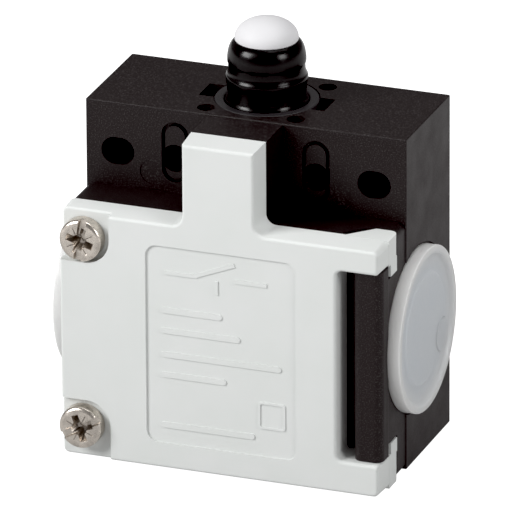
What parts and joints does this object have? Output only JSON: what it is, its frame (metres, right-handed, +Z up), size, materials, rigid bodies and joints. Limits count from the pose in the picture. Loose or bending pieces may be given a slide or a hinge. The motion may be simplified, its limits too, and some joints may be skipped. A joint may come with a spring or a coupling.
{
  "type": "limit switch",
  "caption": "Compact limit switch with a booted round-nosed plunger, hinged wiring cover held by captive screws, and plugged conduit entries on both sides.",
  "frame": {"origin": "middle of the line of fixing holes, on the flat back face", "axes": "+Z up, the way the plunger points; +Y into the mounting wall; +X to the right seen from the front"},
  "size_m": [0.0543, 0.0325, 0.0647],
  "materials": {
    "black_plastic": "fine moulded grain, near-black thermoplastic",
    "grey_plastic": "light grey moulded thermoplastic, satin",
    "white_plastic": "white acetal, semi-gloss",
    "boot_rubber": "glossy black rubber",
    "gasket_rubber": "soft black rubber",
    "ring_plastic": "dark grey plastic, satin",
    "plug_plastic": "milky translucent polyethylene",
    "block_plastic": "grey moulded thermoset",
    "carrier_plastic": "red moulded plastic",
    "nickel_steel": "nickel-plated steel",
    "spring_steel": "drawn spring wire",
    "brass": "stamped brass",
    "silver": "silver alloy"
  },
  "bodies": {
    "housing": {"housing": "black_plastic", "cover_gasket": "gasket_rubber", "cover_screw_inserts": "brass", "plunger_boot": "boot_rubber", "boot_clamp_ring": "ring_plastic", "plunger_guide_bush": "brass", "return_spring": "spring_steel", "contact_block_base": "block_plastic", "contact_block_front": "block_plastic", "contact_block_screws": "nickel_steel", "fixed_contact_tips": "silver", "nc_terminal_left": "brass", "nc_terminal_right": "brass", "no_terminal_left": "brass", "no_terminal_right": "brass", "terminal_clamps": "nickel_steel", "terminal_screws": "nickel_steel"},
    "cover": {"cover": "grey_plastic", "cover_screw_retainers": "white_plastic"},
    "cover_screw_upper": {"cover_screw_upper": "nickel_steel"},
    "cover_screw_lower": {"cover_screw_lower": "nickel_steel"},
    "plunger": {"plunger": "white_plastic", "plunger_retaining_clip": "spring_steel", "contact_carrier": "carrier_plastic", "nc_contact_spring": "spring_steel", "no_contact_spring": "spring_steel"},
    "nc_bridge": {"nc_bridge": "brass", "nc_bridge_tips": "silver"},
    "no_bridge": {"no_bridge": "brass", "no_bridge_tips": "silver"},
    "blanking_plug_left": {"blanking_plug_left": "plug_plastic"},
    "blanking_plug_right": {"blanking_plug_right": "plug_plastic"}
  },
  "joints": [
    {"name": "plunger_slide", "type": "slide", "parent": "housing", "child": "plunger", "axis": [0, 0, -1], "range_m": [0, 0.0055], "stiffness_N_per_m": 700, "springref_m": -0.004, "deforming": ["plunger_boot", "return_spring"]},
    {"name": "nc_bridge_slide", "type": "slide", "parent": "plunger", "child": "nc_bridge", "axis": [0, 0, 1], "range_m": [0, 0.00275], "deforming": ["nc_contact_spring"]},
    {"name": "no_bridge_slide", "type": "slide", "parent": "plunger", "child": "no_bridge", "axis": [0, 0, 1], "range_m": [0, 0.00275], "deforming": ["no_contact_spring"]},
    {"name": "cover_hinge", "type": "hinge", "parent": "housing", "child": "cover", "pos_m": [0.0228, -0.0284, -0.0243], "axis": [0, 0, 1], "range_deg": [0, 120]},
    {"name": "cover_screw_upper_turn", "type": "hinge", "parent": "cover", "child": "cover_screw_upper", "pos_m": [-0.02143, -0.03, -0.00983], "axis": [0, -1, 0], "continuous": true},
    {"name": "cover_screw_lower_turn", "type": "hinge", "parent": "cover", "child": "cover_screw_lower", "pos_m": [-0.02143, -0.03, -0.0392], "axis": [0, -1, 0], "continuous": true},
    {"name": "blanking_plug_left_pull", "type": "slide", "parent": "housing", "child": "blanking_plug_left", "axis": [-1, 0, 0], "range_m": [0, 0.02]},
    {"name": "blanking_plug_right_pull", "type": "slide", "parent": "housing", "child": "blanking_plug_right", "axis": [1, 0, 0], "range_m": [0, 0.02]}
  ],
  "couplings": [
    {"joint": "nc_bridge_slide", "follows": "plunger_slide", "ratio": 0.5},
    {"joint": "no_bridge_slide", "follows": "plunger_slide", "ratio": 0.5}
  ]
}
